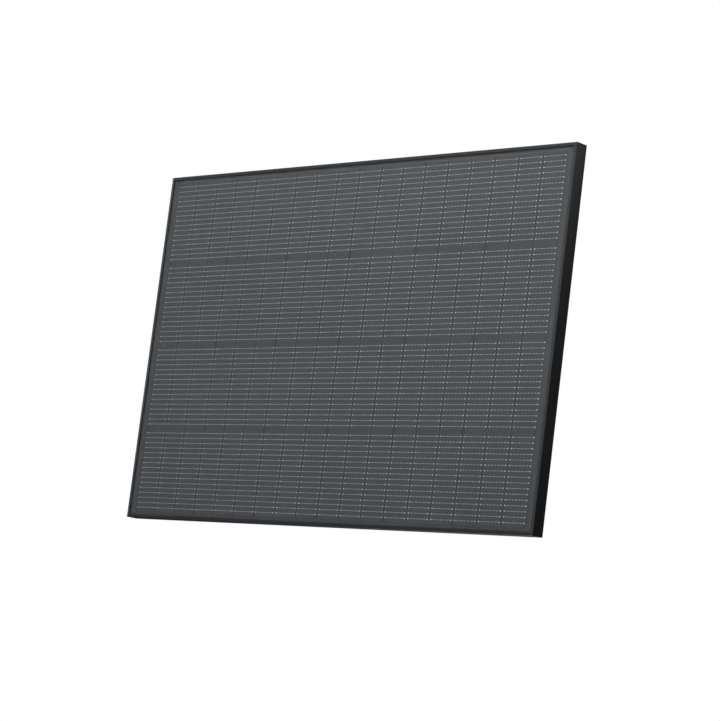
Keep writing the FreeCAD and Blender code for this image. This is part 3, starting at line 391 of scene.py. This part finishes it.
MATERIALS = {
    "rail_z": anodised("anodised_black_z", LINES_ALONG_Z),
    # the top and bottom rails take copies of the same anodise with a lower specular level,
    # lowest at the bottom: painted shade that darkens them against the side rails
    "rail_high": anodised("anodised_black_high", LINES_ALONG_X, spec=0.36),
    "rail_low": anodised("anodised_black_low", LINES_ALONG_X, spec=0.22),
    "glass": solar_glass(),
    "film": clear_film(),
    "silicon": silicon(),
    "wire": tinned("wire_dull_tin", (0.56, 0.56, 0.55)),
    "pad": tinned("pad_solder", (0.86, 0.86, 0.85), rough=0.5),
    "ribbon": tinned("ribbon_tin", (0.6, 0.6, 0.6), rough=0.35, black_front=True),
    "mask": moulded("mask_film_black", (0.026, 0.0265, 0.0280), rough=0.55,
                    grain_scale=900.0, relief=0.15),
    "sealant": rubbery("silicone_black", (0.012, 0.012, 0.013), rough=0.5),
    "back": back_film(),
    "label": label_stock(),
    "box": moulded("box_plastic_black", (0.013, 0.0132, 0.0137), rough=0.46,
                   grain_scale=1500.0, relief=0.4),
    "lid": moulded("lid_plastic_black", (0.0155, 0.0157, 0.0163),
                   grain_scale=1200.0, relief=0.5),
    "mark": moulded("mark_plastic_grey", (0.24, 0.245, 0.25)),
    "seal": rubbery("rubber_seal", (0.02, 0.02, 0.021)),
    "boot": rubbery("rubber_boot", (0.014, 0.014, 0.0145), rough=0.58),
    "cable": rubbery("cable_jacket_black", (0.012, 0.0122, 0.0127), rough=0.46),
    "red": moulded("shrink_sleeve_red", (0.20, 0.008, 0.008), rough=0.4,
                   grain_scale=700.0, relief=0.2, light=1.25),
    "connector": moulded("connector_black", (0.014, 0.0142, 0.0148), rough=0.40,
                         grain_scale=1700.0, relief=0.3),
    "cage": moulded("cage_grey", (0.2, 0.2, 0.2)),
    "clip": moulded("clip_black", (0.02, 0.02, 0.021)),
    "diode": moulded("diode_epoxy", (0.012, 0.012, 0.012), rough=0.3,
                     grain_scale=900.0, relief=0.1),
    "steel": drawn_metal("screw_plated", (0.55, 0.55, 0.54), rough=0.32),
    "key": drawn_metal("key_mill_aluminium", (0.62, 0.62, 0.63), rough=0.4),
    "copper": drawn_metal("tinned_copper", (0.66, 0.63, 0.58)),
}

# material key: the CAD nodes that wear it
MATERIAL_NODES = {
    "rail_high": "rail_top",
    "rail_low": "rail_bottom",
    "rail_z": "rail_left rail_right",
    "key": "corner_keys",
    "sealant": "edge_sealant box_adhesive",
    "glass": "front_glass",
    "film": "front_encapsulant rear_encapsulant",
    "back": "backsheet",
    "mask": "end_masks insulation_pads",
    "ribbon": "feed_ribbons return_ribbon link_ribbons exit_leads",
    "label": "rating_label",
    "box": "box_base",
    "lid": "box_lid",
    "seal": "lid_seal plug_ring",
    "steel": "lid_screws",
    "copper": "terminal_pos terminal_neg cable_cores plug_pin socket_sleeve",
    "diode": "bypass_diodes",
    "clip": "cable_clips",
    "red": "polarity_sleeve",
    "connector": "plug_body socket_body plug_nut socket_nut",
    "cage": "plug_cage socket_cage",
    "boot": "cable_boots",
    "cable": "cable_pos_fixed cable_neg_fixed cable_pos_free cable_neg_free",
    "silicon": "cell_row_1 cell_row_2 cell_row_3 cell_row_4",
    "wire": "wire_row_1 wire_row_2 wire_row_3 wire_row_4",
}
# bevel width: the CAD nodes that get it
BEVEL_NODES = {
    0.00012: "lid_screws",
    0.0002: "terminal_pos terminal_neg",
    0.00025: "plug_body socket_body",
    0.0003: "rail_top rail_bottom rail_left rail_right plug_nut socket_nut",
    0.0005: "box_base",
    0.0006: "box_lid cable_clips",
}


def by_node(table):
    return {node: value for value, names in table.items() for node in names.split()}


def dress_cad_nodes():
    material_of, bevel_of = by_node(MATERIAL_NODES), by_node(BEVEL_NODES)
    for name, piece in nodes.items():
        piece.data.materials.clear()
        piece.data.materials.append(MATERIALS[material_of[name]])
        if name in bevel_of:
            bevel = piece.modifiers.new("soft_edges", "BEVEL")
            bevel.width = bevel_of[name]
            bevel.segments = 2
            bevel.limit_method = "ANGLE"
            bevel.angle_limit = math.radians(35)
            bevel.harden_normals = False
            bevel.use_clamp_overlap = True


dress_cad_nodes()


# ------------------------------------------------------------ mesh helpers

def make(name, bm, materials, body=None, replaces=()):
    mesh = bpy.data.meshes.new(name)
    bm.normal_update()
    bm.to_mesh(mesh)
    bm.free()
    piece = bpy.data.objects.new(name, mesh)
    scene.collection.objects.link(piece)
    for material in materials:
        mesh.materials.append(material)
    if body:
        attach(piece, body)
    if replaces:
        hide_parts(*replaces)
    return piece


def centre(node):
    return [(low + high) / 2 for low, high in zip(*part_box(node))]


def rectangle(x0, z0, x1, z1):
    return [(x0, z0), (x1, z0), (x1, z1), (x0, z1)]


def prism(bm, outline, y_front, y_rear, material_index=0):
    """Closed plate from an outline of (x, z) points, wound either way."""
    front = [bm.verts.new((x, y_front, z)) for x, z in outline]
    rear = [bm.verts.new((x, y_rear, z)) for x, z in outline]
    following = [(i, (i + 1) % len(outline)) for i in range(len(outline))]
    area = sum(outline[i][0] * outline[j][1] - outline[j][0] * outline[i][1]
               for i, j in following)
    loops = [front, rear[::-1]]
    loops += [(front[i], rear[i], rear[j], front[j]) for i, j in following]
    for loop in loops:
        bm.faces.new(loop if area > 0 else loop[::-1]).material_index = material_index


def skin(bm, rings):
    """Smooth quads between each ring of vertices and the next."""
    sides = len(rings[0])
    for near, far in zip(rings, rings[1:]):
        for k in range(sides):
            j = (k + 1) % sides
            bm.faces.new((near[k], far[k], far[j], near[j])).smooth = True


# ------------------------------------------------------------ cells and wires

def cell_outline(column, z_mid):
    """Every three columns form one group with cropped outer corners."""
    x_mid = (column - (COLUMNS - 1) / 2) * COLUMN_PITCH
    x0, x1 = x_mid - CELL_WIDTH / 2, x_mid + CELL_WIDTH / 2
    z0, z1 = z_mid - CELL_HEIGHT / 2, z_mid + CELL_HEIGHT / 2
    crop = CELL_CROP
    if column % 3 == 0:
        return [(x0 + crop, z0), (x1, z0), (x1, z1),
                (x0 + crop, z1), (x0, z1 - crop), (x0, z0 + crop)]
    if column % 3 == 1:
        return rectangle(x0, z0, x1, z1)
    return [(x0, z0), (x1 - crop, z0), (x1, z0 + crop),
            (x1, z1 - crop), (x1 - crop, z1), (x0, z1)]


def build_cells(row):
    node = f"cell_row_{row}"
    low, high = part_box(node)
    bm = bmesh.new()
    for column in range(COLUMNS):
        prism(bm, cell_outline(column, centre(node)[2]), low[1], high[1])
    make(f"cells_{row}", bm, [MATERIALS["silicon"]], "panel", [node])


WIRE_SETBACK = 0.00004  # wire front behind the front of the CAD row
WIRE_INSET = 0.0040  # wire ends from the cell edges
WIRE_HALF = 0.00019
# half length, half width and rise above the wire
END_PAD = (0.00150, 0.00092, 0.00003)
SMALL_PAD = (0.00090, 0.00050, 0.00002)
WIRE_SPANS = 6  # small pads divide each wire into this many spans


def end_pad_outline(x, z):
    length, width, _ = END_PAD
    flat_x, flat_z = length * 0.6, width * 0.5
    return [(x - length, z - flat_z), (x - flat_x, z - width),
            (x + flat_x, z - width), (x + length, z - flat_z),
            (x + length, z + flat_z), (x + flat_x, z + width),
            (x - flat_x, z + width), (x - length, z + flat_z)]


def add_wire(bm, x_mid, z, front, rear):
    """One wire, then its two long end pads and the small pads between them."""
    half_length = CELL_WIDTH / 2 - WIRE_INSET
    x0, x1 = x_mid - half_length, x_mid + half_length
    prism(bm, rectangle(x0, z - WIRE_HALF, x1, z + WIRE_HALF), front, rear)
    for x in (x0, x1):
        prism(bm, end_pad_outline(x, z), front - END_PAD[2], rear, material_index=1)
    length, width, rise = SMALL_PAD
    for i in range(1, WIRE_SPANS):
        x = x0 + (x1 - x0) * i / WIRE_SPANS
        prism(bm, rectangle(x - length, z - width, x + length, z + width),
              front - rise, rear, material_index=1)


def build_wires(row):
    node = f"wire_row_{row}"
    low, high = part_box(node)
    z_mid = centre(f"cell_row_{row}")[2]
    bm = bmesh.new()
    for column in range(COLUMNS):
        x_mid = (column - (COLUMNS - 1) / 2) * COLUMN_PITCH
        for k in range(WIRES_PER_CELL):
            z = z_mid + (k - (WIRES_PER_CELL - 1) / 2) * WIRE_PITCH
            add_wire(bm, x_mid, z, low[1] + WIRE_SETBACK, high[1])
    make(f"wires_{row}", bm, [MATERIALS["wire"], MATERIALS["pad"]], "panel",
         [node])


def build_film(node):
    """Clear film, a hair clear of the sheets on either side."""
    gap, crop = 0.00002, 0.004
    (x0, y0, z0), (x1, y1, z1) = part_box(node)
    outline = [(x0 + crop, z0), (x1 - crop, z0), (x1, z0 + crop), (x1, z1 - crop),
               (x1 - crop, z1), (x0 + crop, z1), (x0, z1 - crop), (x0, z0 + crop)]
    bm = bmesh.new()
    prism(bm, outline, y0 + gap, y1 - gap)
    film = make(node + "_film", bm, [MATERIALS["film"]], "panel", [node])
    # clear film casts no shadow, which also keeps light paths through the layers short
    film.visible_shadow = film.visible_diffuse = film.visible_glossy = False


for row in range(1, ROWS + 1):
    build_cells(row)
    build_wires(row)
for node in ("front_encapsulant", "rear_encapsulant"):
    build_film(node)


# ------------------------------------------------------------ leads

LEAD_RADIUS, LEAD_SIDES = 0.003, 20
BEND_RADIUS, BEND_ANGLE, BEND_STEPS = 0.150, math.radians(24), 20
BEND_X = -0.300  # where the lead starts to bend
SLANT_LENGTH = 0.060


def lead_points(pole, side):
    """Centre line: straight along X, away from the other lead, then along X again."""
    low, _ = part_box(f"cable_{pole}_fixed")
    _, y, z = centre(f"cable_{pole}_fixed")
    end_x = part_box(f"cable_{pole}_free")[1][0]
    points = []

    def add_line(start, end, step=0.004):
        count = max(2, int((end - start).length / step))
        points.extend(start.lerp(end, i / count) for i in range(count))

    def outward(angle):
        return Vector((bend.x + BEND_RADIUS * math.sin(angle), y,
                       z + side * BEND_RADIUS * (1 - math.cos(angle))))

    def straightening(angle):
        return Vector((slant_end.x + BEND_RADIUS * (math.sin(BEND_ANGLE) - math.sin(angle)), y,
                       slant_end.z
                       + side * BEND_RADIUS * (math.cos(angle) - math.cos(BEND_ANGLE))))

    bend = Vector((BEND_X, y, z))
    add_line(Vector((low[0], y, z)), bend, step=0.003)
    points += [outward(BEND_ANGLE * i / BEND_STEPS) for i in range(BEND_STEPS)]
    slant = outward(BEND_ANGLE)
    slant_end = slant + Vector((SLANT_LENGTH * math.cos(BEND_ANGLE), 0,
                                side * SLANT_LENGTH * math.sin(BEND_ANGLE)))
    add_line(slant, slant_end)
    points += [straightening(BEND_ANGLE * (1 - i / BEND_STEPS)) for i in range(BEND_STEPS)]
    straight = straightening(0.0)
    end = Vector((end_x, y, straight.z))
    add_line(straight, end)
    points.append(end)
    return points


def build_lead(pole, side):
    """Closed round tube, with dense rings along its path."""
    points = lead_points(pole, side)
    bm = bmesh.new()
    rings = []
    for i, point in enumerate(points):
        before, after = points[max(i - 1, 0)], points[min(i + 1, len(points) - 1)]
        along = (after - before).normalized()
        across = along.cross(Vector((0, 1, 0))).normalized()
        other = along.cross(across).normalized()
        angles = [2 * math.pi * k / LEAD_SIDES for k in range(LEAD_SIDES)]
        rings.append([bm.verts.new(
            point + (across * math.cos(angle) + other * math.sin(angle)) * LEAD_RADIUS)
            for angle in angles])
    skin(bm, rings)
    bm.faces.new(rings[0])
    bm.faces.new(rings[-1][::-1])
    bmesh.ops.recalc_face_normals(bm, faces=bm.faces[:])
    fixed, free = f"cable_{pole}_fixed", f"cable_{pole}_free"
    lead = make(f"lead_cable_{pole}", bm, [MATERIALS["cable"]],
                replaces=[fixed, free])
    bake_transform(lead)


RELIEF_SIDES = 40
RELIEF_BORE = 0.0031
# (x from the box wall, radius)
RELIEF_COLLAR = [(0.0, RELIEF_BORE), (0.0, 0.0070), (0.0016, 0.0070), (0.0022, 0.0062)]
RELIEF_TIP = [(0.0156, 0.0040), (0.0160, 0.0036), (0.0160, RELIEF_BORE)]
RIB_COUNT, RIB_START, RIB_PITCH = 5, 0.0030, 0.0024
RIB_RADIUS, RIB_TAPER, RIB_HEIGHT = 0.0066, 0.00042, 0.0007


def build_strain_relief(pole, side):
    """Ribbed strain relief at the box wall, turned about X."""
    profile = list(RELIEF_COLLAR)
    for i in range(RIB_COUNT):
        x = RIB_START + RIB_PITCH * i
        crest = RIB_RADIUS - RIB_TAPER * i
        root = crest - RIB_HEIGHT
        profile += [(x, root), (x + 0.0003, crest), (x + 0.0013, crest), (x + 0.0016, root)]
    profile += RELIEF_TIP
    wall_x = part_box("cable_boots")[0][0]
    y_mid = centre("cable_boots")[1]
    angles = [2 * math.pi * k / RELIEF_SIDES for k in range(RELIEF_SIDES)]
    bm = bmesh.new()
    rings = [[bm.verts.new((wall_x + x, y_mid + radius * math.cos(angle),
                            side * LEAD_Z + radius * math.sin(angle))) for angle in angles]
             for x, radius in profile]
    skin(bm, rings + rings[:1])
    bmesh.ops.recalc_face_normals(bm, faces=bm.faces[:])
    relief = make(f"strain_relief_{pole}", bm, [MATERIALS["boot"]], "panel",
                  ["cable_boots"] if side > 0 else ())
    relief.modifiers.new("crisp", "EDGE_SPLIT").split_angle = math.radians(38)


MARK_X = 0.098  # from the low-X edge of the lid
MARK_HEIGHT = 0.0006
ARM, HALF = 0.0042, 0.0009  # arm length and half width of a mark's strokes
MARK_OUTLINES = {
    "pos": [(ARM, HALF), (ARM, -HALF), (HALF, -HALF), (HALF, -ARM),
            (-HALF, -ARM), (-HALF, -HALF), (-ARM, -HALF), (-ARM, HALF),
            (-HALF, HALF), (-HALF, ARM), (HALF, ARM), (HALF, HALF)],
    "neg": rectangle(-ARM, -HALF, ARM, HALF),
}
MARK_OUTLINES["pos"] = MARK_OUTLINES["pos"]


def build_polarity_mark(pole, side):
    """Plain mark moulded on the lid: a cross or a bar."""
    low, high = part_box("box_lid")
    outline = [(low[0] + MARK_X + x, side * LEAD_Z + z) for x, z in MARK_OUTLINES[pole]]
    bm = bmesh.new()
    prism(bm, outline, high[1] - MARK_HEIGHT, high[1])
    mark = make(f"polarity_mark_{pole}", bm, [MATERIALS["mark"]], "lid")
    bevel = mark.modifiers.new("soft", "BEVEL")
    bevel.width = 0.00015
    bevel.segments = 2


for build in (build_lead, build_strain_relief, build_polarity_mark):
    for pole, side in POLES:
        build(pole, side)


# ------------------------------------------------------------ floor and world

def floor_material():
    """Pale paint fading to white far out; dim to bounces, unseen by lamps and from below."""
    tree = material_tree("floor_pale")
    geometry = tree.add("NewGeometry").outputs
    flat = tree.vector_math("MULTIPLY", geometry["Position"], (1.0, 1.0, 0.0))
    distance = tree.vector_math("LENGTH", flat)
    paint = tree.noise(scale=14.0, detail=4.0)
    color = tree.mix(paint, (0.80, 0.80, 0.80), (0.83, 0.83, 0.83))
    matte = tree.principled(color=color, rough=0.9, spec=0.1)
    white = tree.get("Emission", {"Color": (1, 1, 1), "Strength": 1.0})
    shown = tree.mix_shader(tree.ramp(distance, start=1.2, end=4.5), matte, white)
    quiet = tree.get("BsdfDiffuse", {"Color": (0.10, 0.10, 0.10)})
    shown = tree.mix_shader(tree.get("LightPath", output="Is Camera Ray"), quiet, shown)
    clear = tree.math("MAXIMUM", geometry["Backfacing"],
                      tree.get("LightPath", output="Is Shadow Ray"))
    return tree.finish(tree.mix_shader(clear, shown, tree.get("BsdfTransparent")))


def build_floor():
    drop = 0.0002  # below the lowest point of the panel
    bm = bmesh.new()
    bmesh.ops.create_circle(bm, cap_ends=True, segments=96, radius=9.0)
    bmesh.ops.translate(bm, verts=bm.verts[:], vec=(0, 0, cad_lo[2] - drop))
    make("floor", bm, [floor_material()])


def build_world():
    """White to the camera; for other rays a cool glow from the front and from above."""
    scene.world = bpy.data.worlds.new("studio")
    tree = Tree(scene.world)
    # Incoming is opposite to the sky direction, so its +Y is the panel's front
    _, to_front, down = tree.split(tree.get("NewGeometry", output="Incoming"))
    up = tree.math("MULTIPLY", down, -1.0)
    front = tree.ramp(to_front, start=0.12, end=1.0, high=2.55, kind="LINEAR")
    level = tree.math("MULTIPLY", front, tree.ramp(up, start=-0.2, end=0.45))
    level = tree.math("ADD", level, tree.ramp(up, start=0.2, end=1.0, low=0.006, high=0.05))
    camera_ray = tree.get("LightPath", output="Is Camera Ray")
    other_ray = tree.math("SUBTRACT", 1.0, camera_ray)
    strength = tree.math("ADD", tree.math("MULTIPLY", camera_ray, 1.0),
                         tree.math("MULTIPLY", other_ray, level))
    tint = tree.mix(camera_ray, (0.93, 0.967, 1.0), (1.0, 1.0, 1.0))
    tree.finish(tree.get("Background", {"Color": tint, "Strength": strength}), "OutputWorld")


build_floor()
build_world()


# ------------------------------------------------------------ lights

INSIDE = ("cell", "wire", "front_", "rear_enc", "end_masks", "feed_", "return_", "link_",
          "insulation", "floor")
meshes = [piece for piece in scene.objects if piece.type == "MESH"]
outside = [piece for piece in meshes if not piece.name.startswith(INSIDE)]
not_top = [piece for piece in meshes if piece.name != "rail_top"]

# name, place, target, width, height, watts, the only pieces lit (None: all)
SOFTBOXES = [
    ("top_soft", (0.3, -0.6, 2.6), (0, 0, 0), 2.4, 2.0, 36, None),
    ("front_top", (0.35, -1.35, 1.5), (0, 0, 0.1), 1.0, 0.7, 9.8, None),
    ("back_soft", (-1.6, 2.2, 1.3), (-0.1, 0, 0), 1.8, 1.2, 46, not_top),
    ("back_rim", (-1.6, 2.2, 1.3), (-0.1, 0, 0), 1.8, 1.2, 7, [nodes["rail_top"]]),
    ("back_key", (-0.35, 1.1, 1.75), (-0.1, 0, 0), 1.2, 0.7, 62, outside),
    ("back_fill", (-1.3, 2.4, 0.15), (-0.1, 0, 0), 1.4, 1.4, 80, outside),
    ("left_strip", (-2.8, -0.9, 0.3), (-0.58, 0, 0), 0.5, 1.6, 9.2, [nodes["rail_left"]]),
    ("right_kick", (1.45, 0.25, 0.75), (0.58, 0, 0.2), 0.5, 0.3, 4.3, [nodes["rail_right"]]),
    ("under_fill", (0.3, 0.35, -1.5), (0, 0, -0.38), 1.8, 0.3, 30, [nodes["rail_bottom"]]),
]


def softbox(name, place, target, width, height, power, receivers):
    data = bpy.data.lights.new(name, "AREA")
    data.shape = "RECTANGLE"
    data.size, data.size_y = width, height
    data.energy = power
    lamp = bpy.data.objects.new(name, data)
    lamp.location = place
    lamp.rotation_mode = "QUATERNION"
    lamp.rotation_quaternion = (Vector(target) - Vector(place)).to_track_quat("-Z", "Y")
    lamp.visible_camera = False
    scene.collection.objects.link(lamp)
    if receivers is not None:
        lit = bpy.data.collections.new("lit_by_" + name)
        for piece in receivers:
            lit.objects.link(piece)
        lamp.light_linking.receiver_collection = lit


for row in SOFTBOXES:
    softbox(*row)


# ------------------------------------------------------------ camera

def build_camera():
    data = bpy.data.cameras.new("camera")
    camera = bpy.data.objects.new("camera", data)
    scene.collection.objects.link(camera)
    scene.camera = camera
    data.sensor_width = 36.0
    data.sensor_fit = "AUTO"
    data.lens = 129.859778
    data.shift_x, data.shift_y = -0.0007628294, 0.0007628294
    data.clip_start, data.clip_end = 0.05, 100.0
    place = (3.76018152, -3.76557883, -0.79652662)
    right = Vector((0.7186768, 0.68446047, 0.122546)).normalized()
    back = -Vector((-0.69525619, 0.70453316, 0.14230901)).normalized()
    up = back.cross(right).normalized()
    turn = Matrix((right, up, back)).transposed().to_4x4()
    camera.matrix_world = Matrix.Translation(place) @ turn


build_camera()
